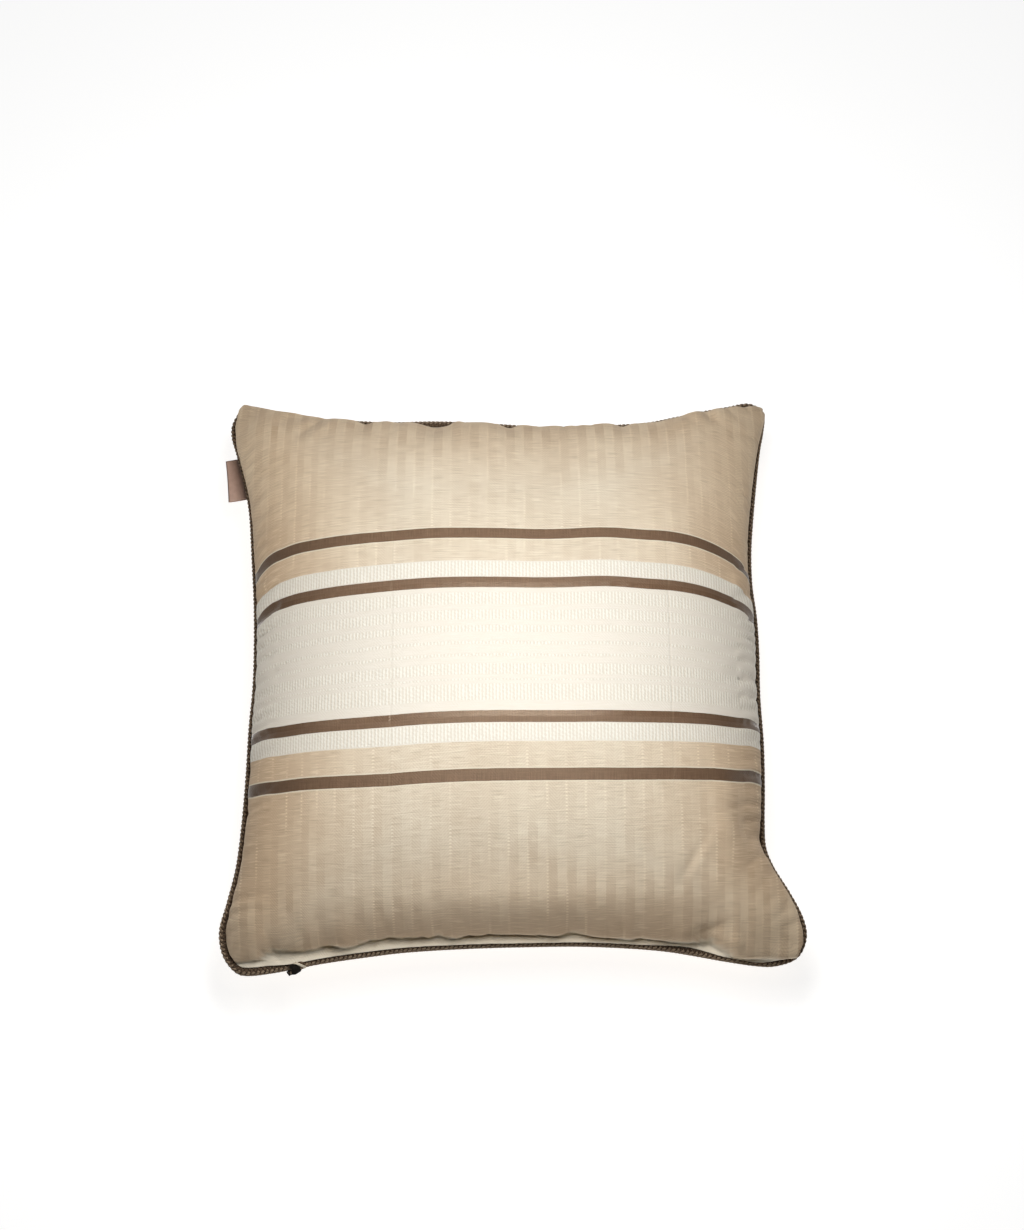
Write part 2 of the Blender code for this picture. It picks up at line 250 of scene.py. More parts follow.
def relaxCorners(grid):  # even out the rows that the rounded corners squeeze
    passes, part, reach = cover["cornerEase"]
    corners = [grid[i, j].copy() for i, j in ((0, 0), (-1, 0), (-1, -1), (0, -1))]
    for _ in range(passes):
        mean = (grid[:-2, 1:-1] + grid[2:, 1:-1] + grid[1:-1, :-2] + grid[1:-1, 2:]) / 4
        inner = grid[1:-1, 1:-1]
        near = np.min([np.linalg.norm(inner - corner, axis=2) for corner in corners], axis=0)
        weight = part * np.exp(-(near / reach) ** 2)[..., None]
        grid[1:-1, 1:-1] = inner + weight * (mean - inner)
    return grid


def pushOut(grid, u, v, tables, shape):  # the cloth beside the seam stands out over the cord
    start, fade, power, lift = shape
    best = np.zeros_like(u)
    push = np.zeros(u.shape + (3,))
    for side, along, inward in ((0, u, v), (1, v, 1 - u), (2, 1 - u, 1 - v), (3, 1 - v, u)):
        distance = inward * 2 * cover["halfSpan"] / mm
        swell = np.interp(along, *zip(*tables[side])) * (1 - np.exp(-distance / start))
        swell *= np.exp(-(distance / fade) ** power)
        move = seamOutward(sideRun(side, along)) * swell[..., None]
        move[..., 2] += lift * swell
        chosen = np.abs(swell) > np.abs(best)
        push = np.where(chosen[..., None], move * mm, push)
        best = np.where(chosen, swell, best)
    return grid + push


def raiseFront(grid, u, v):  # crown of the front, which hangs a little over its ledge
    span = 2 * cover["halfSpan"]
    ledge = ledgeAt(u)
    across = np.minimum(u, 1 - u) * span
    below = v * span - ledge
    along = np.where(v < 0.5, below, (1 - v) * span)
    share = (crownShare(across) * crownShare(np.maximum(along, 0))) ** cover["fullness"]
    grid[..., 2] += cover["frontCrown"] * share
    past = np.maximum(below, 0) / mm
    rise = cover["frontCrown"] * share / mm
    full, fade = cover["overhangReach"]
    over = cover["ledgeOverhang"] * np.minimum(ledge / (3 * mm), 1)
    over = over * (1 - np.exp(-rise / full)) * np.exp(-past / fade)
    grid[..., 1] -= np.where(v < 0.5, over, 0)
    return grid


def dropBack(grid, u, v):  # crown of the back, flat where it rests on the floor
    span = 2 * cover["halfSpan"]
    share = crownShare(np.minimum(u, 1 - u) * span) * crownShare(np.minimum(v, 1 - v) * span)
    share = share ** cover["fullness"]
    grid[..., 2] -= cover["backCrown"] * share
    grid[..., 2] = np.maximum(grid[..., 2], 0)
    return grid


def coverPanels():
    u, v = panelShares(cover["frontCrown"], True)
    front = relaxCorners(blendPanel(u, v, cover["grooveAngles"][0]))
    front = pushOut(front, u, v, cover["frontBulges"], cover["bulge"])
    front = raiseFront(pushOut(front, u, v, cover["laps"], cover["lap"]), u, v)
    frontShares = (u, v)
    u, v = panelShares(cover["backCrown"], False)
    back = relaxCorners(blendPanel(u, v, cover["grooveAngles"][-1]))
    back = dropBack(pushOut(back, u, v, cover["backBulges"], cover["bulge"]), u, v)
    return front, back, frontShares, (u, v)


def borderOrder():  # grid places round the edge, anticlockwise, each with its running length
    last = rowCount - 1
    order = [(k, 0, sideRun(0, rows[k])) for k in range(last)]
    order += [(last, k, sideRun(1, rows[k])) for k in range(last)]
    order += [(last - k, last, sideRun(2, rows[k])) for k in range(last)]
    order += [(0, last - k, sideRun(3, rows[k])) for k in range(last)]
    return order


# Folds in the front, given one by one: place in mm, direction in degrees, length, width, depth in mm
frontFolds = (
    (-123, 226, 84, 16, 8, 3.5), (-61, 226, 78, 26, 15, 6.5), (2, 225, 88, 18, 8, 4.5),
    (102, 226, 92, 15, 7, 3.5), (178, 232, 95, 14, 6, 2.5), (-168, 222, 52, 22, 4, 2.0),
    (-158, 214, 50, 20, 4, -1.2), (-96, 222, 70, 22, 7, 1.5), (-40, 222, 104, 24, 6, -1.6),
    (-205, -116, 20, 26, 5, 1.6), (-190, -108, 24, 22, 4, -0.8), (146, -171, 58, 22, 4, 1.5),
    (154, -166, 58, 20, 4, -1.0), (196, -140, 150, 40, 11, 2.2), (188, -152, 150, 34, 8, -1.2),
    (176, -132, 95, 38, 13, -4.5), (5, -198, 0, 115, 14, -3.0), (157, -221, 16, 14, 2.8, 3.0),
    (178, -229, -14, 12, 5, -2.2),
)
gathers = {
    "side": (13.0, 2.2, 42.0),  # pitch, height, fade from the seam, in mm
    "topBottom": (21.0, 1.0, 24.0),
    "sideZone": (190, 200),  # the side gathers lie outside the first and below the second, in mm
    "sideMiddle": (0.45, 0.75, 110),  # share everywhere, share more in the middle, its reach in mm
    "waver": (45, 4),  # length in mm and size of the wander in pitch
    "sizes": (28, 0.15, 1.1, 0.45),  # length in mm of the change in height, least and span, shift
    "ridge": (0.6, 1.3),  # sharpness of the furrows, and how far the ridges sink
    "start": 6,  # mm from the seam at which a gather is at its full height
    "slant": 0.06,
    "seed": 11.0,
}
filling = {
    "frames": 20,
    "quality": 5,
    "mass": 0.25,
    "stretch": 20,
    "shear": 8,
    "bend": 0.15,
    "pressure": 4.0,
    "ease": -0.07,
    "easeReach": 70.0,
    "pinReach": 4.0,  # mm of cloth beside the seam that stay put
    "onFloor": 0.4 * mm,  # cloth below this stays put
    "cap": 9.0 * mm,  # most that the cloth may move
}


# How the side seams pull the stripes down where they gather the cloth, in mm
seamEase = {
    "tilt": -0.022,
    "shift": -0.5,
    "left": (170.0, 55.0, 2, 2.5, 17.5),  # from, reach, power, pull, pull more in the upper half
    "right": (125.0, 100.0, 1.8, 3.5, 23.0),
    "upper": (60.0, 160.0),
    "upperStretch": (0.066, 238.0, 45.0),  # the weft lies closer together above the middle
    "lowerStretch": (0.042, 95.0, 75.0, 240.0, 30.0),
    "dip": (78.0, 45.0, 2.0, 40.0),  # place, reach, depth and start of a slack part of the upper stripes
}


def ramp(value, reach):  # 0 to 1 over the reach
    return min(max(value / reach, 0), 1)


def easedHeight(x, y):
    below, reach = seamEase["upper"]
    upper = ramp(y + below, reach)
    pull = 0
    for side, place in (("left", -x), ("right", x)):
        start, reach, power, base, more = seamEase[side]
        pull += ramp(place - start, reach) ** power * (base + more * upper)
    if y > 0:
        place, reach, depth, start = seamEase["dip"]
        share, edge, fade = seamEase["upperStretch"]
        pull += share * y * ramp(x + edge, fade)
        pull -= depth * math.exp(-((x - place) / reach) ** 2) * min(y / start, 1)
    else:
        share, start, reach, edge, fade = seamEase["lowerStretch"]
        pull += share * y * ramp(abs(x) - start, reach) * ramp(edge - x, fade)
    return y + seamEase["tilt"] * x + seamEase["shift"] + pull


def columnPlace(x):  # herringbone columns hang straight down, whatever the side seams do
    seen, cut = zip(*cover["columnTable"])
    return float(np.interp(x / mm, seen, cut)) * mm


def buildCover():
    front, back, frontShares, backShares = coverPanels()
    border = borderOrder()
    bm = bmesh.new()
    clothUv = bm.loops.layers.uv.new("cloth")
    flat = {}

    def addGrid(grid):
        made = {}
        for i in range(rowCount):
            for j in range(rowCount):
                made[i, j] = bm.verts.new(grid[i, j])
                x, y = (rows[i] - 0.5) * cover["cut"], (rows[j] - 0.5) * cover["cut"]
                flat[made[i, j]] = (columnPlace(grid[i, j][0]), easedHeight(x, y) * mm)
        return made

    frontVerts = addGrid(front)
    backVerts = addGrid(back)
    rings = [[frontVerts[i, j] for i, j, run in border]]
    for degrees in cover["grooveAngles"][1:-1]:
        ring = []
        for i, j, run in border:
            vert = bm.verts.new(groovePoint(run, degrees))
            flat[vert] = flat[frontVerts[i, j]]
            ring.append(vert)
        rings.append(ring)
    rings.append([backVerts[i, j] for i, j, run in border])
    for i in range(rowCount - 1):
        for j in range(rowCount - 1):
            corners = ((i, j), (i + 1, j), (i + 1, j + 1), (i, j + 1))
            face = bm.faces.new([frontVerts[place] for place in corners])
            face.material_index = 0
            face = bm.faces.new([backVerts[place] for place in reversed(corners)])
            face.material_index = 1
    for upper, lower in zip(rings[:-1], rings[1:]):
        for k in range(len(border)):
            after = (k + 1) % len(border)
            face = bm.faces.new((upper[after], upper[k], lower[k], lower[after]))
            face.material_index = 1
    for face in bm.faces:
        face.smooth = True
        for loop in face.loops:
            loop[clothUv].uv = flat[loop.vert]
    bm.verts.index_update()
    held = np.ones(len(bm.verts))
    eased = np.zeros(len(bm.verts))
    pressed = np.zeros(len(bm.verts))
    panels = ((frontVerts, front, frontShares, True), (backVerts, back, backShares, False))
    for made, grid, shares, isFront in panels:
        pinned = pinnedPart(grid, *shares, isFront)
        for (i, j), vert in made.items():
            edge = min(rows[i], 1 - rows[i], rows[j], 1 - rows[j]) * cover["cut"]
            held[vert.index] = pinned[i, j]
            eased[vert.index] = max(1 - edge / filling["easeReach"], 0)
            if isFront and rows[j] < 0.5:
                past = (shares[1][i, j] * 2 * cover["halfSpan"] - ledgeAt(shares[0][i, j])) / mm
                pressed[vert.index] = min(max(0.5 - past / cover["pressedFade"], 0), 1)
    piece = meshPiece(bm, "coverCloth", turnOut=False)
    # painted light on the pressed strip beside the lower seam
    piece.data.attributes.new("ledgePaintedLight", "FLOAT", "POINT").data.foreach_set("value", pressed)
    for name, weights in (("sewn", held), ("eased", eased)):
        group = piece.vertex_groups.new(name=name)
        for index, weight in enumerate(weights):
            if weight > 0:
                group.add([index], float(weight), "REPLACE")
    return piece


rgba = {"output": 2, "data_type": "RGBA"}  # what each Mix node of two colours is set to


def linear(hexColour):  # sRGB hex to linear
    parts = [int(hexColour[k:k + 2], 16) / 255 for k in (1, 3, 5)]
    return tuple(p / 12.92 if p <= 0.04045 else ((p + 0.055) / 1.055) ** 2.4 for p in parts) + (1.0,)


def setInputs(tree, node, inputs):  # by name or in order: links for sockets, plain values for the rest
    for name, value in inputs.items() if isinstance(inputs, dict) else enumerate(inputs):
        if isinstance(value, bpy.types.NodeSocket):
            tree.links.new(value, node.inputs[name])
        else:
            node.inputs[name].default_value = value


def addNode(tree, kind, inputs=(), operation=None, output=0, **settings):  # a node, set and linked
    node = tree.nodes.new("ShaderNode" + kind)
    if operation:
        node.operation = operation
    for name, value in settings.items():
        setattr(node, name, value)
    setInputs(tree, node, inputs)
    return node.outputs[output]


def startMaterial(name):
    material = bpy.data.materials.new(name)
    material.use_nodes = True
    return material, material.node_tree, material.node_tree.nodes["Principled BSDF"]


# Linen and cotton herringbone, woven with satin stripes and ticked cream bands, sizes in mm
clothLook = {
    "taupeLight": "#ece0ca",
    "taupeDark": "#d2c0a8",
    "slubLight": "#fbf0da",
    "slubDark": "#9c896d",
    "cream": "#f0eadf",
    "creamTick": "#f6f2e6",
    "creamShade": "#dcd2be",
    "brownLight": "#876b54",
    "brownDark": "#5b4636",
    # painted shade at the ends of the brown stripes
    "brownPaintedShade": "#4f3c2c",
    "selvedge": "#eadfc9",
    # painted light on the pressed strip beside the lower seam
    "ledgePaintedLight": "#fff5e0",
    "seamPaintedShade": "#fff2e4",  # painted shade: the cloth is painted warmer and a little darker towards its seams, where its slopes turn from the lamps
    "gloss": "#f8e6cc",  # the gloss of cotton is warm
    "column": 8.0,  # width of one herringbone column
    "twill": 2.5,  # twill lines; the real ones are near 1 mm, too fine to show
    "stitch": 2.6,
    "outerBrown": 100.2,
    "innerBrown": 55.6,
    "brownWidth": 9.4,
    "narrowBand": (60.3, 75.0),
    "tickPitch": 2.9,  # real ticks are near 2 mm apart, too fine to show
    "tickRow": 3.4,
    "tickBands": (  # middle and width
        (41.2, 10.5), (27.0, 8.5), (15.0, 5.6), (3.0, 2.6), (-7.0, 2.2), (-18.2, 8.6), (-26.4, 1.4),
        (-36.4, 13.0),
    ),
    "rim": 1.1,  # pale thread on each side of a brown stripe
    "slub": (18, 0.8),  # length and height of the thick places along the weft
    "paleSlub": (17, 0.95),
    "warp": (0.9, 14),
    "baseTone": -0.8,
    # from, to, and the values there
    # painted column sheen near the bottom and the top
    "lowColumnSheen": (-110.0, -225.0, 0.12, 0.44),
    "highColumnSheen": (150.0, 235.0, 0.03, 0.38),
    "columnPatch": (26.0, 0.9, 2.6, -1.75),  # length, and weights of each second column, patches and base
    # painted shade on the lower slope and beside the side seams
    "lowPaintedShade": (-188.0, -224.0, 0.0, 0.8),
    "sidePaintedShade": (135.0, 215.0, 0.0, 0.65),
    "stripeEndPaintedShade": (140.0, 240.0, 0.0, 0.75),
    "seamShadeSide": (90.0, 215.0),
    "seamShadeEnd": (145.0, 235.0),
    "creaseWidth": (1.6, 0.2),
    "creaseEnds": (170.0, 90.0),
    "creases": (-97.5, 138.0),  # pressed fold lines from the packet
}


def wovenCloth(name, striped):
    # linen and cotton in a herringbone twill: dull, a little uneven, long thick threads across
    look = clothLook
    tint = {part: linear(value) for part, value in look.items() if isinstance(value, str)}
    material, tree, shader = startMaterial(name)
    add = functools.partial(addNode, tree)
    uv = add("UVMap", uv_map="cloth")
    place = add("VectorMath", {0: uv, "Scale": 1000.0}, "SCALE")
    x = add("SeparateXYZ", (place,))
    y = x.node.outputs[1]
    distance = add("Math", (y,), "ABSOLUTE")
    # herringbone: the twill lines turn over from column to column
    fold = add("Math", (x, look["column"]), "PINGPONG")
    ridge = add("Math", (fold, y), "ADD")
    ridge = add("Math", (ridge, math.tau / look["twill"]), "MULTIPLY")
    ridge = add("Math", (ridge,), "SINE")
    # painted sheen: the columns are the weave's own, and each is painted a little lighter or darker as its
    # twill would take the light, in uneven patches down the cloth
    index = add("Math", (x, look["column"]), "DIVIDE")
    index = add("Math", (index,), "FLOOR")
    every = add("Math", (index, 2.0), "FLOORED_MODULO")
    index = add("Math", (index, 3.7), "MULTIPLY")
    length, secondWeight, patchWeight, base = look["columnPatch"]
    down = add("Math", (y, 1 / length), "MULTIPLY")
    patch = add("CombineXYZ", (index, down))
    patch = add("TexNoise", {0: patch, "Scale": 1.0, "Detail": 1.5})
    column = add("Math", (every, secondWeight, base), "MULTIPLY_ADD")
    column = add("Math", (patch, patchWeight, column), "MULTIPLY_ADD")
    # the painted column sheen shows more on the slopes near the top and bottom seams, where the light grazes
    # the cloth
    lowReach = add("MapRange", (y, *look["lowColumnSheen"]))
    highReach = add("MapRange", (y, *look["highColumnSheen"]))
    reach = add("Math", (lowReach, highReach), "ADD")
    zone = add("TexNoise", {0: place, "Scale": 0.013, "Detail": 1.0})
    zone = add("MapRange", (zone, 0.42, 0.58, 0.5, 1.1))
    reach = add("Math", (reach, zone), "MULTIPLY")
    column = add("Math", (column, reach), "MULTIPLY")
    # a pale stitch where each twill line turns over
    turn = add("MapRange", (fold, 1.4, 0.5))
    stitch = add("Math", (y, math.tau / look["stitch"]), "MULTIPLY")
    stitch = add("Math", (stitch,), "SINE")
    stitch = add("MapRange", (stitch, 0.0, 0.7))
    turn = add("Math", (turn, stitch), "MULTIPLY")
    # slubs: thick places along the weft
    long, high = look["slub"]
    thread = add("Mapping", {0: place, "Scale": (1 / long, 1 / high, 1)})
    slub = add("TexNoise", {0: thread, "Scale": 1.0, "Detail": 3.0, "Roughness": 0.65})
    wide, long = look["warp"]
    warp = add("Mapping", {0: place, "Scale": (1 / wide, 1 / long, 1)})
    warp = add("TexNoise", {0: warp, "Scale": 1.0, "Detail": 2.0})
    cloud = add("TexNoise", {0: place, "Scale": 0.016, "Detail": 4.0, "Roughness": 0.55})
    patchy = add("TexNoise", {0: place, "Scale": 0.022, "Detail": 2.0})
    patchy = add("MapRange", (patchy, 0.45, 0.58, 0.1, 0.75))
    turn = add("Math", (turn, patchy), "MULTIPLY")
    tone = look["baseTone"]
    for part, weight in ((slub, 1.0), (warp, 0.5), (cloud, 1.1), (ridge, 0.17)):
        tone = add("Math", (part, weight, tone), "MULTIPLY_ADD")
    # painted shade: the middle of the lower slope and the cloth beside the side seams are painted a little
    # darker, where the slopes turn from the lamps
    fromMiddle = add("Math", (x,), "ABSOLUTE")
    paintedShade = add("MapRange", (y, *look["lowPaintedShade"]))
    central = add("MapRange", (fromMiddle, 185.0, 120.0))
    paintedShade = add("Math", (paintedShade, central), "MULTIPLY")
    beside = add("MapRange", (fromMiddle, *look["sidePaintedShade"]))
    under = add("MapRange", (y, 160.0, 100.0))
    above = add("MapRange", (y, -205.0, -170.0))
    beside = add("Math", (beside, under), "MULTIPLY")
    paintedShade = add("Math", (beside, above, paintedShade), "MULTIPLY_ADD")
    tone = add("Math", (tone, paintedShade), "SUBTRACT")
    tone = add("Math", (column, tone), "ADD", use_clamp=True)
    colour = add("Mix", {0: tone, 6: tint["taupeDark"], 7: tint["taupeLight"]}, **rgba)
    # the thickest slubs stand out pale, and a few thin dark threads
    long, high = look["paleSlub"]
    thick = add("Mapping", {0: place, "Scale": (1 / long, 1 / high, 1), "Location": (40, 7, 0)})
    thick = add("TexNoise", {0: thick, "Scale": 1.0, "Detail": 0.6})
    pale = add("MapRange", (thick, 0.60, 0.68, 0.0, 0.34))
    pale = add("Math", (pale, turn), "MAXIMUM")
    colour = add("Mix", {0: pale, 6: colour, 7: tint["slubLight"]}, **rgba)
    dark = add("MapRange", (thick, 0.40, 0.32, 0.0, 0.22))
    colour = add("Mix", {0: dark, 6: colour, 7: tint["slubDark"]}, **rgba)
    # painted shade: towards the side and end seams the cloth is tinted warmer and darker, where its slopes
    # turn from the lamps
    nearSide = add("MapRange", (fromMiddle, *look["seamShadeSide"]))
    nearEnd = add("MapRange", (distance, *look["seamShadeEnd"]))
    seamShadeShare = add("Math", (nearSide, nearEnd), "MAXIMUM")
    colour = add("Mix", {0: seamShadeShare, 6: colour, 7: tint["seamPaintedShade"]}, **rgba, blend_type="MULTIPLY")
    height = 0.0
    for part, weight in ((slub, 0.9), (ridge, 0.22), (pale, 0.6)):
        height = add("Math", (part, weight, height), "MULTIPLY_ADD")
    rough = 0.92
    if striped:
        # cream satin panel between the inner stripes, and a narrow cream band beyond each
        panel = add("Math", (y, 0.0, look["innerBrown"]), "COMPARE")
        middle = sum(look["narrowBand"]) / 2
        half = look["narrowBand"][1] - middle
        narrow = add("Math", (distance, middle, half), "COMPARE")
        creamShare = add("Math", (panel, narrow), "MAXIMUM")
        # ticked rows: raised white dashes about 2 mm apart, in bands as the loom repeats them
        tick = add("Math", (x, math.tau / look["tickPitch"]), "MULTIPLY")
        tick = add("Math", (tick,), "SINE")
        stagger = add("Math", (x, math.pi / look["tickPitch"]), "MULTIPLY")
        stagger = add("Math", (y, math.tau / look["tickRow"], stagger), "MULTIPLY_ADD")
        stagger = add("Math", (stagger,), "SINE")
        dash = tick
        for part, weight in ((stagger, 0.35), (warp, 3.0), (slub, 3.0)):
            dash = add("Math", (part, weight, dash), "MULTIPLY_ADD")
        dash = add("MapRange", (dash, 2.5, 3.6))
        bands = add("Math", (distance, middle, half - 0.8), "COMPARE")
        for centre, width in look["tickBands"]:
            one = add("Math", (y, centre, width / 2), "COMPARE")
            bands = add("Math", (bands, one), "MAXIMUM")
        raised = add("Math", (dash, bands), "MULTIPLY")
        satin = add("Math", (slub, 0.9, -0.18), "MULTIPLY_ADD", use_clamp=True)
        cream = add("Mix", {0: satin, 6: tint["cream"], 7: tint["creamShade"]}, **rgba)
        # painted shade in the hollows between the raised ticks
        tickHollowShade = add("Math", (bands, raised), "SUBTRACT")
        tickHollowShade = add("Math", (tickHollowShade, 0.4), "MULTIPLY")
        cream = add("Mix", {0: tickHollowShade, 6: cream, 7: tint["creamShade"]}, **rgba)
        cream = add("Mix", {0: raised, 6: cream, 7: tint["creamTick"]}, **rgba)
        # the cream takes a fifth of the same painted shade near the seams
        creamSeamShade = add("Math", (seamShadeShare, 0.2), "MULTIPLY")
        cream = add("Mix", {0: creamSeamShade, 6: cream, 7: tint["seamPaintedShade"]}, **rgba, blend_type="MULTIPLY")
        colour = add("Mix", {0: creamShare, 6: colour, 7: cream}, **rgba)
        height = add("Math", (raised, 1.3, height), "MULTIPLY_ADD")
        # four brown satin stripes, each between two pale threads
        half = look["brownWidth"] / 2
        inner = add("Math", (distance, look["innerBrown"], half), "COMPARE")
        outer = add("Math", (distance, look["outerBrown"], half), "COMPARE")
        brownShare = add("Math", (inner, outer), "MAXIMUM")
        rim = add("Math", (distance, look["outerBrown"], half + look["rim"]), "COMPARE")
        rim = add("Math", (rim, 0.7), "MULTIPLY")
        colour = add("Mix", {0: rim, 6: colour, 7: tint["selvedge"]}, **rgba)
        grain = add("Math", (warp, 1.2, -0.5), "MULTIPLY_ADD")
        grain = add("Math", (slub, 1.0, grain), "MULTIPLY_ADD", use_clamp=True)
        brown = add("Mix", {0: grain, 6: tint["brownDark"], 7: tint["brownLight"]}, **rgba)
        # painted shade: the brown stripes darken towards the side seams, where the cloth turns from the
        # lamps
        stripeEndShade = add("MapRange", (fromMiddle, *look["stripeEndPaintedShade"]))
        brown = add("Mix", {0: stripeEndShade, 6: brown, 7: tint["brownPaintedShade"]}, **rgba)
        colour = add("Mix", {0: brownShare, 6: colour, 7: brown}, **rgba)
        # painted light: the strip pressed flat beside the lower seam is painted pale, standing in for the
        # light it catches as it faces up
        strip = add("Attribute", output=2, attribute_name="ledgePaintedLight")
        even = add("Math", (slub, 0.45, 0.72), "MULTIPLY_ADD", use_clamp=True)
        strip = add("Math", (strip, even), "MULTIPLY")
        colour = add("Mix", {0: strip, 6: colour, 7: tint["ledgePaintedLight"]}, **rgba)
        # satin floats lie smooth and take a soft gloss, the linen ground stays dull
        rough = 0.9
        for part, weight in ((creamShare, -0.34), (brownShare, -0.5), (slub, 0.1)):
            rough = add("Math", (part, weight, rough), "MULTIPLY_ADD")
        # faint pressed fold lines down the cloth, sunk in the bump and painted a little darker along each
        # line as painted shade
        for line in look["creases"]:
            away = add("Math", (x, line), "SUBTRACT")
            away = add("Math", (away,), "ABSOLUTE")
            press = add("MapRange", (away, *look["creaseWidth"]))
            inward = add("MapRange", (distance, *look["creaseEnds"]))
            press = add("Math", (press, inward), "MULTIPLY")
            height = add("Math", (press, -1.0, height), "MULTIPLY_ADD")
            press = add("Math", (press, 0.07), "MULTIPLY")
            colour = add("Mix", {0: press, 6: colour, 7: tint["slubDark"]}, **rgba)
    setInputs(tree, shader, {
        "Base Color": colour,
        "Roughness": rough,
        "Normal": add("Bump", {"Strength": 0.55, "Distance": 0.0003, "Height": height}),
        "Specular IOR Level": 0.42,
        "Specular Tint": tint["gloss"],
        "Sheen Weight": 0.08,
        "Sheen Roughness": 0.5,
    })
    return material


def pinnedPart(grid, u, v, front):  # cloth that stays put: beside the seam, on the ledge and on the floor
    span = 2 * cover["halfSpan"] / mm
    edge = np.min([u, 1 - u, v, 1 - v], axis=0) * span
    reach = filling["pinReach"]
    pinned = np.clip(1.5 - edge / reach, 0, 1)
    if front:
        pinned = np.clip(2 - edge / reach, 0, 1)
        below = (v * span - ledgeAt(u) / mm) / reach
        pinned = np.maximum(pinned, np.clip(1.5 - below, 0, 1) * (v < 0.5))
    return np.maximum(pinned, grid[..., 2] < filling["onFloor"])


def fillCover(piece):
    # the filling presses the cloth out against its seams, which hold it shorter than it was cut
    before = np.array([tuple(vert.co) for vert in piece.data.vertices])
    cloth = piece.modifiers.new("filling", "CLOTH")
    cloth.settings.quality = filling["quality"]
    cloth.settings.mass = filling["mass"]
    cloth.settings.tension_stiffness = filling["stretch"]
    cloth.settings.compression_stiffness = filling["stretch"]
    cloth.settings.shear_stiffness = filling["shear"]
    cloth.settings.bending_stiffness = filling["bend"]
    cloth.settings.use_pressure = True
    cloth.settings.uniform_pressure_force = filling["pressure"]
    cloth.settings.vertex_group_mass = "sewn"
    cloth.settings.vertex_group_shrink = "eased"
    cloth.settings.shrink_min = 0.0
    cloth.settings.shrink_max = filling["ease"]
    cloth.settings.effector_weights.gravity = 0
    cloth.collision_settings.use_collision = False
    cloth.point_cache.frame_end = filling["frames"]
    for frameNumber in range(1, filling["frames"] + 1):
        bpy.context.scene.frame_set(frameNumber)
    applyModifier(piece, "filling")
    bpy.context.scene.frame_set(1)
    after = np.array([tuple(vert.co) for vert in piece.data.vertices])
    move = after - before
    far = np.linalg.norm(move, axis=1, keepdims=True)
    print("filling moved the cloth by %.2f mm, at most %.2f mm" % (far.mean() / mm, far.max() / mm))
    move *= np.minimum(1, filling["cap"] / np.maximum(far, 1e-9))
    after = before + move
    after[:, 2] = np.maximum(after[:, 2], 0)
    for vert, place in zip(piece.data.vertices, after):
        vert.co = place


def dentFront(piece):  # folds and gathers pressed into the front, along its normals
    mesh = piece.data
    outside, upTo = gathers["sideZone"]
    everywhere, more, middleReach = gathers["sideMiddle"]
    waverLength, waverSize = gathers["waver"]
    sizeLength, leastSize, sizeSpan, sizeShift = gathers["sizes"]
    sharpness, sink = gathers["ridge"]
    start = gathers["start"]
    normals = [vert.normal.copy() for vert in mesh.vertices]
    loopPath = seamPath[:-1]
    frontVerts = {k for face in mesh.polygons if face.material_index == 0 for k in face.vertices}
    for k in sorted(frontVerts):
        vert = mesh.vertices[k]
        x, y = vert.co.x / mm, vert.co.y / mm
        gaps = np.linalg.norm(loopPath[:, :2] - (vert.co.x, vert.co.y), axis=1)
        run = seamRun[int(gaps.argmin())] / mm
        fromSeam = float(gaps.min()) / mm
        move = 0.0
        for px, py, degrees, length, width, depth in frontFolds:
            turn = math.radians(degrees)
            along = (x - px) * math.cos(turn) + (y - py) * math.sin(turn)
            across = -(x - px) * math.sin(turn) + (y - py) * math.cos(turn)
            if abs(along) < 3 * length and abs(across) < 4 * width:
                move -= depth * math.exp(-(along / length) ** 2 - (across / width) ** 2)
        onSide = abs(x) > outside and abs(y) < upTo
        pitch, height, fade = gathers["side"] if onSide else gathers["topBottom"]
        waver = noise.noise(Vector((run / waverLength, gathers["seed"], 0))) * waverSize
        change = noise.noise(Vector((run / sizeLength, 3.0, gathers["seed"])))
        size = leastSize + sizeSpan * ramp(change + sizeShift, 1)
        height *= everywhere + more * math.exp(-(y / middleReach) ** 4) if onSide else 1
        phase = math.pi * run / pitch + waver + gathers["slant"] * fromSeam
        wave = 2 * abs(math.sin(phase)) ** sharpness - sink
        near = ramp(fromSeam, start) * math.exp(-max(fromSeam - start, 0) / fade)
        move += height * size * wave * near
        vert.co += normals[k] * move * mm


print("stage: cover")
coverCloth = buildCover()
fillCover(coverCloth)
coverCloth.data.materials.append(wovenCloth("stripedLinenHerringbone", True))
coverCloth.data.materials.append(wovenCloth("plainLinenHerringbone", False))
coverCloth.modifiers.new("finer", "SUBSURF").levels = 1
applyModifier(coverCloth, "finer")
dentFront(coverCloth)
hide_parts("cushion")
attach(coverCloth, "root")

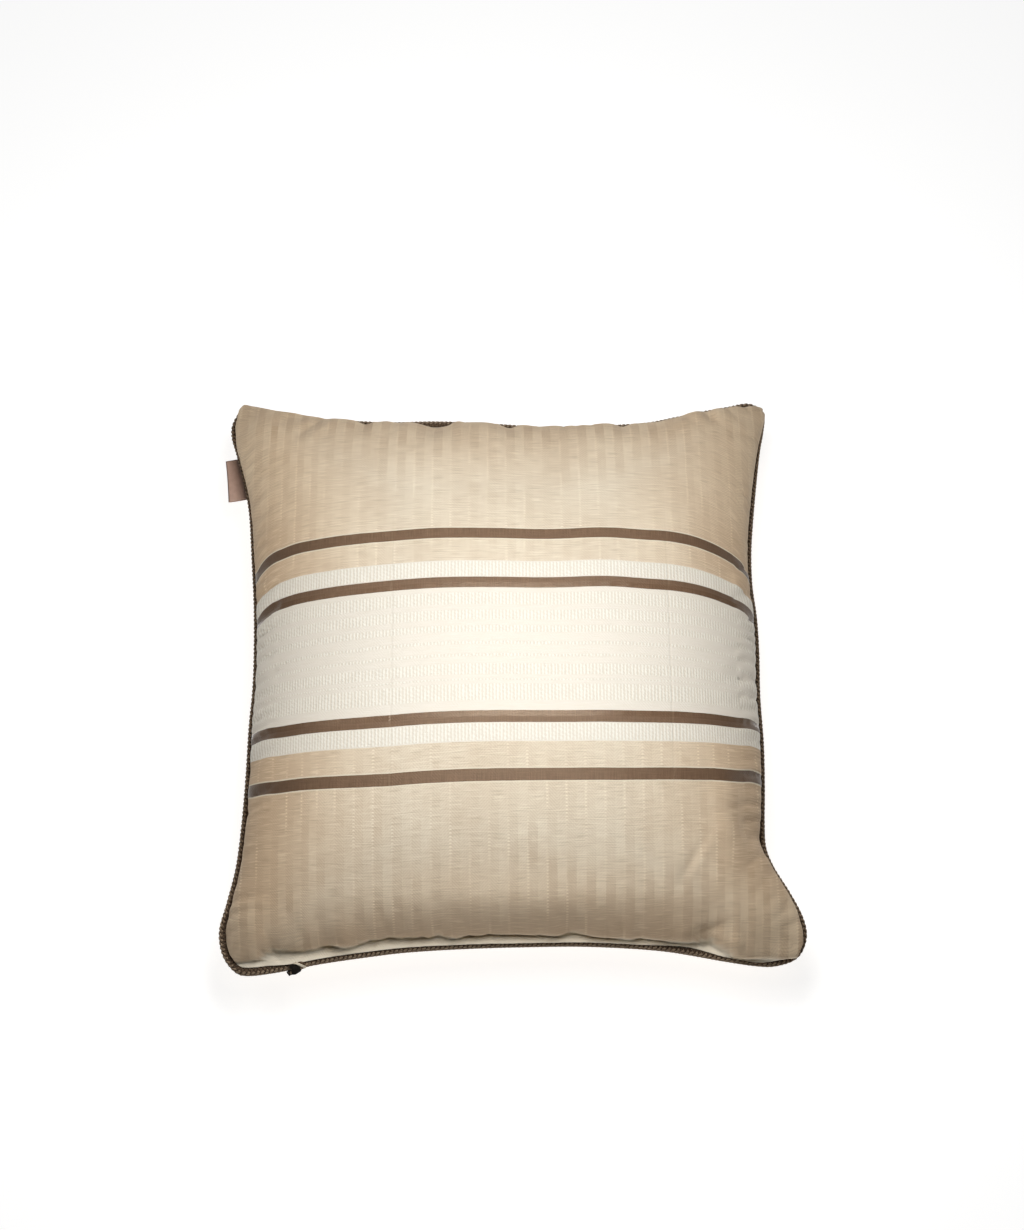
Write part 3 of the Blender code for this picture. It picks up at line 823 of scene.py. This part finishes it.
# Braided cord: eight flat strands, four each way, over two and under two, sizes in mm
braid = {
    "lead": 15.0,
    "coreRadius": 2.15,
    "strandRadius": 2.85,
    "weave": 0.5,
    "strandWidth": 2.5,
    "strandHeight": 1.3,
    "facing": math.radians(37.5),  # turns the ridge of the chevrons towards the front
    "step": 1.15,
    "leftEnd": 52.0,
    "rightStart": 59.0,
    "tailLength": 17.0,
    "tailOutward": 7.0,
    "tailCurve": 1.25,
    "tailRise": 5.0,
    "tailArch": (2.2, 1.9),  # how fast the tail climbs, and where it stops
    "tailTaper": (0.28, 1.5),  # share of the tail that tapers, and how
    "tailTip": 0.3,
    "twist": 1.5,  # of the yarns' two plies
    "yarns": {  # lit and shaded tones of each, painted along the plies, in the order of the pieces
        "darkBrownYarn": ("#75604c", "#2e2319"),
        "tanBrownYarn": ("#bba48a", "#594838"),
        # painted shade: the core is near black, standing in for the shade in the gaps between the strands
        "coreYarnPaintedShade": ("#241b13", "#130e09"),
        # painted shade: the whipping is near black where the cord's end lies in shadow
        "whippingThreadPaintedShade": ("#1d1610", "#0b0806"),
        "bleachedCottonTape": ("#efe6d3", "#cdbfa6"),
    },
}
whipping = {
    "from": 0.42,  # share of the tail at which it begins
    "width": 4.4,
    "height": 4.0,
    "taper": (0.26, 0.36, 0.7),  # share of the tail that tapers, least size, power
    "sides": 14,
}
tape = {
    "rows": 14,
    "place": 0.4,  # share of the tail
    "turn": (-140, 100),  # degrees round the cord: from, and how far
    "travel": (-0.45, 9.0),  # along the cord: start as a share, and how far
    "reach": (5.2, 0.3),
    "halfWidth": 1.0,
    "thickness": 0.3,
}


def unit(vectors):
    return vectors / np.linalg.norm(vectors, axis=-1, keepdims=True)


def cordPath():  # running length, centre, two directions across and thickness along the cord, tail first
    step = braid["step"] * mm
    start = (braid["rightStart"] - braid["tailLength"]) * mm
    end = seamWhole + braid["leftEnd"] * mm
    runs = np.linspace(start, end, round((end - start) / step) + 1)
    centre = seamPoint(runs)
    outward = seamOutward(runs)
    share = np.clip((braid["rightStart"] * mm - runs) / (braid["tailLength"] * mm), 0, 1)
    centre = centre + outward * (share ** braid["tailCurve"] * braid["tailOutward"] * mm)[:, None]
    climb, stop = braid["tailArch"]
    centre[:, 2] += braid["tailRise"] * mm * np.sin(np.minimum(climb * share, stop))
    taper, power = braid["tailTaper"]
    scale = 1 - (1 - braid["tailTip"]) * np.clip((share - 1 + taper) / taper, 0, 1) ** power
    tangent = unit(np.gradient(centre, axis=0))
    outward = unit(outward - tangent * np.sum(outward * tangent, axis=1, keepdims=True))
    return runs, centre, outward, np.cross(tangent, outward), scale


def sweepTube(bm, centres, sideways, upward, halfWidth, halfHeight, sides, runs):
    # a closed tube of elliptical section along the points
    uvLayer = bm.loops.layers.uv.get("strand") or bm.loops.layers.uv.new("strand")
    rings = []
    for k in range(len(centres)):
        ring = []
        for n in range(sides):
            turn = math.tau * n / sides
            offset = sideways[k] * halfWidth[k] * math.cos(turn) + upward[k] * halfHeight[k] * math.sin(turn)
            ring.append(bm.verts.new(centres[k] + offset))
        rings.append(ring)
    for k in range(len(rings) - 1):
        for n in range(sides):
            after = (n + 1) % sides
            face = bm.faces.new((rings[k][n], rings[k][after], rings[k + 1][after], rings[k + 1][n]))
            face.smooth = True
            for loop, (a, b) in zip(face.loops, ((n, k), (n + 1, k), (n + 1, k + 1), (n, k + 1))):
                loop[uvLayer].uv = (a / sides, runs[b])
    bm.faces.new(list(reversed(rings[0])))
    bm.faces.new(rings[-1])


def strandPiece(name, direction):  # the four strands that wind one way
    runs, centre, outward, third, scale = cordPath()
    bm = bmesh.new()
    omega = math.tau / (braid["lead"] * mm)
    for index in range(4):
        turn = direction * omega * runs + math.pi / 2 * index + braid["facing"]
        lift = direction * np.cos(2 * omega * runs + direction * (math.pi * index - math.pi / 4))
        radius = (braid["strandRadius"] + braid["weave"] * lift) * mm * scale
        radial = outward * np.cos(turn)[:, None] + third * np.sin(turn)[:, None]
        points = centre + radial * radius[:, None]
        along = unit(np.gradient(points, axis=0))
        sideways = unit(np.cross(along, radial))
        widths = braid["strandWidth"] / 2 * mm * scale
        heights = braid["strandHeight"] / 2 * mm * scale
        sweepTube(bm, points, sideways, np.cross(sideways, along), widths, heights, 6, runs)
    return meshPiece(bm, name)


def corePiece():
    runs, centre, outward, third, scale = cordPath()
    keep = slice(0, None, 3)
    bm = bmesh.new()
    radius = braid["coreRadius"] * mm * scale[keep]
    sweepTube(bm, centre[keep], outward[keep], third[keep], radius, radius, 8, runs[keep])
    return meshPiece(bm, "pipingCore")


def whippingPiece():  # dark thread whipped over the cord's cut end; its near-black is painted shade, standing in for the shadow at the end of the cord
    runs, centre, outward, third, scale = cordPath()
    share = (braid["rightStart"] * mm - runs) / (braid["tailLength"] * mm)
    keep = np.nonzero(share > whipping["from"])[0]
    reach, least, power = whipping["taper"]
    taper = np.clip((1 - share[keep]) / reach, least, 1) ** power
    widths = whipping["width"] * mm * taper
    heights = whipping["height"] * mm * taper
    bm = bmesh.new()
    sweepTube(bm, centre[keep], outward[keep], third[keep], widths, heights, whipping["sides"], runs[keep])
    return meshPiece(bm, "tailWhippingPaintedShade")


def tapePiece():  # the end of a pale tape, laid across the join
    runs, centre = cordPath()[:2]
    way = np.linspace(0, 1, tape["rows"])
    start, sweep = tape["turn"]
    turn = np.radians(start + sweep * way)
    start, travel = tape["travel"]
    path = (braid["rightStart"] - braid["tailLength"] * tape["place"] + (way + start) * travel) * mm
    around = seamOutward(path)
    least, more = tape["reach"]
    reach = (least + more * way) * mm
    points = np.stack([np.interp(path, runs, centre[:, k]) for k in range(3)], axis=1)
    points += around * (np.cos(turn) * reach)[:, None]
    points[:, 2] -= np.sin(turn) * reach
    along = unit(np.gradient(points, axis=0))
    away = around * np.cos(turn)[:, None] - np.array([0.0, 0.0, 1.0]) * np.sin(turn)[:, None]
    away = unit(away - along * np.sum(away * along, axis=1, keepdims=True))
    halfWidth = np.full(len(way), tape["halfWidth"] * mm)
    bm = bmesh.new()
    sweepTube(bm, points, np.cross(away, along), away, halfWidth, halfWidth * tape["thickness"], 8, path)
    return meshPiece(bm, "tapeEnd")


def yarn(name, light, dark):
    # mercerised cotton yarn, two plies twisted: dull, with fine slanting lines and a little fuzz
    material, tree, shader = startMaterial(name)
    add = functools.partial(addNode, tree)
    across = add("SeparateXYZ", (add("UVMap", uv_map="strand"),))
    pitch = braid["twist"] * mm
    along = add("Math", (across.node.outputs[1], math.tau / pitch), "MULTIPLY")
    ply = add("Math", (across, 4 * math.pi, along), "MULTIPLY_ADD")
    ply = add("Math", (ply,), "SINE")
    place = add("TexCoord", output=3)
    fuzz = add("TexNoise", {0: place, "Scale": 800.0, "Detail": 2.0})
    # painted light and shade: the ridges of the plies are painted light and the grooves between them dark,
    # with fuzz as the yarn's own uneven tone
    shade = add("Math", (ply, 0.25, fuzz), "MULTIPLY_ADD", use_clamp=True)
    colour = add("Mix", {0: shade, 6: linear(dark), 7: linear(light)}, **rgba)
    bump = add("Bump", {"Strength": 0.5, "Distance": 0.0002, "Height": shade})
    setInputs(tree, shader, {"Base Color": colour, "Normal": bump})
    setInputs(tree, shader, {"Roughness": 0.85, "Specular IOR Level": 0.25})
    return material


print("stage: piping")
pipingPieces = (
    strandPiece("pipingBrownStrands", 1),
    strandPiece("pipingTanStrands", -1),
    corePiece(),
    whippingPiece(),
    tapePiece(),
)
for piece, (name, tones) in zip(pipingPieces, braid["yarns"].items()):
    piece.data.materials.append(yarn(name, *tones))
    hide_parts("piping")
    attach(piece, "root")

# Folded woven label, sizes in mm
tag = {
    "place": 0.131,
    "length": 40.0,
    "reach": 16.5,
    "skew": 5.5,
    "tuck": 1.2,
    "layer": 0.32,
    "foldRadius": 0.34,
    "foldStart": 0.965,  # share of the reach at which the fold begins
    "sink": 4.75,  # below the seam line
    "lift": 2.4,
    "wave": (1.0, 3, 0.6),  # height, waves along the label, phase
    "belly": (0.18, 2.2),
    "rib": 0.9,
    "colours": ("#c0a08e", "#a38476"),
}


def labelPiece():
    middle = sideRun(3, tag["place"])
    outward = seamOutward(middle)
    rowsAlong = np.linspace(-0.5, 0.5, 25)
    steps = np.linspace(0, 1, 19)
    fold = tag["foldStart"]
    waveHeight, waves, phase = tag["wave"]
    bellyHeight, bellies = tag["belly"]
    bm = bmesh.new()
    uvLayer = bm.loops.layers.uv.new("tape")
    grid = []
    for run in rowsAlong:
        root = seamPoint(middle + run * tag["length"] * mm)
        extent = tag["reach"] + tag["skew"] * run + tag["tuck"]
        line = []
        for layer in (1, -1):
            for step in (steps if layer > 0 else steps[::-1]):
                bent = max(step - fold, 0) / (1 - fold)
                rounded = tag["foldRadius"] * math.sqrt(max(1 - bent ** 2, 0))
                out = step * extent - tag["tuck"]
                rise = tag["lift"] * step ** 2 + waveHeight * step * math.sin(waves * run + phase)
                belly = bellyHeight * math.sin(math.pi * step) * math.cos(bellies * run)
                height = rise - tag["sink"] + layer * (rounded + belly)
                line.append(root + outward * out * mm + np.array([0, 0, height * mm]))
        grid.append(line)
    verts = [[bm.verts.new(point) for point in line] for line in grid]
    wide = len(verts[0])
    for a in range(len(verts) - 1):
        for b in range(wide - 1):
            places = ((a, b), (a, b + 1), (a + 1, b + 1), (a + 1, b))
            face = bm.faces.new([verts[p][q] for p, q in places])
            face.smooth = True
            for loop, (p, q) in zip(face.loops, places):
                across = q / (wide - 1) * 2 * tag["reach"] * mm
                loop[uvLayer].uv = (across, p / (len(verts) - 1) * tag["length"] * mm)
    bmesh.ops.remove_doubles(bm, verts=bm.verts, dist=0.004 * mm)
    piece = meshPiece(bm, "labelTape")
    wall = piece.modifiers.new("wall", "SOLIDIFY")
    wall.thickness = tag["layer"] * mm
    wall.offset = 0
    wall.use_even_offset = True
    applyModifier(piece, "wall")
    return piece


def wovenTape(name, light, dark):
    # polyester satin tape: smooth and faintly shiny, with fine ribs across
    material, tree, shader = startMaterial(name)
    add = functools.partial(addNode, tree)
    along = add("SeparateXYZ", (add("UVMap", uv_map="tape"),))
    ribs = add("Math", (along.node.outputs[1], math.tau / (tag["rib"] * mm)), "MULTIPLY")
    ribs = add("Math", (ribs,), "SINE")
    place = add("TexCoord", output=3)
    mottle = add("TexNoise", {0: place, "Scale": 220.0, "Detail": 4.0})
    shade = add("Math", (ribs, 0.12, mottle), "MULTIPLY_ADD", use_clamp=True)
    colour = add("Mix", {0: shade, 6: linear(dark), 7: linear(light)}, **rgba)
    bump = add("Bump", {"Strength": 0.3, "Distance": 0.0001, "Height": shade})
    setInputs(tree, shader, {"Base Color": colour, "Normal": bump, "Roughness": 0.55})
    return material


print("stage: label")
labelTape = labelPiece()
labelTape.data.materials.append(wovenTape("mauveWovenTape", *tag["colours"]))
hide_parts("label")
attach(labelTape, "root")


# Floor, lights and camera
studio = {
    "cameraPlace": (0.0, -0.505032, 1.685718),
    "cameraAim": (0.004237, 0.056691, 0.06),
    "lens": 58.712,
    "floor": "#b9b8b6",
    "floorGlow": 0.86,
    "lamps": (  # name, place, size, watts
        ("upperSoftBox", (0.03, 0.15, 0.72), 0.3, 2.75),
        ("lowerSoftBox", (0.0, -0.1, 0.55), 0.2, 0.9),
        ("leftFill", (-0.6, 0.2, 0.9), 0.4, 0.85),
    ),
    "room": 0.01,
}


def buildStudio():
    bpy.ops.mesh.primitive_plane_add(size=60.0, location=(0, 0, 0))
    floor = bpy.context.active_object
    floor.name = "studioFloor"
    # matt acrylic of a light table: it glows a little, so that shadows stay faint
    material, tree, shader = startMaterial("paleLightTable")
    setInputs(tree, shader, {
        "Base Color": linear(studio["floor"]),
        "Roughness": 0.9,
        "Specular IOR Level": 0.1,
        "Emission Color": (1, 1, 1, 1),
        "Emission Strength": studio["floorGlow"],
    })
    floor.data.materials.append(material)
    world = bpy.data.worlds.new("studioRoom")
    world.use_nodes = True
    background = world.node_tree.nodes["Background"]
    setInputs(world.node_tree, background, {"Color": (1, 1, 1, 1), "Strength": studio["room"]})
    bpy.context.scene.world = world
    for name, place, size, power in studio["lamps"]:
        light = bpy.data.lights.new(name, "AREA")
        light.shape = "SQUARE"
        light.size = size
        light.energy = power
        lamp = bpy.data.objects.new(name, light)
        bpy.context.scene.collection.objects.link(lamp)
        lamp.location = place
        lamp.rotation_euler = (Vector((0, 0, 0.1)) - Vector(place)).to_track_quat("-Z", "Y").to_euler()
    camera = bpy.data.objects.new("photoCamera", bpy.data.cameras.new("photoCamera"))
    bpy.context.scene.collection.objects.link(camera)
    camera.location = studio["cameraPlace"]
    look = Vector(studio["cameraAim"]) - Vector(studio["cameraPlace"])
    camera.rotation_euler = look.to_track_quat("-Z", "Y").to_euler()
    camera.data.sensor_fit = "VERTICAL"
    camera.data.sensor_height = 36.0
    camera.data.lens = studio["lens"]
    bpy.context.scene.camera = camera
    bpy.context.scene.view_settings.view_transform = "Standard"


print("stage: studio")
buildStudio()
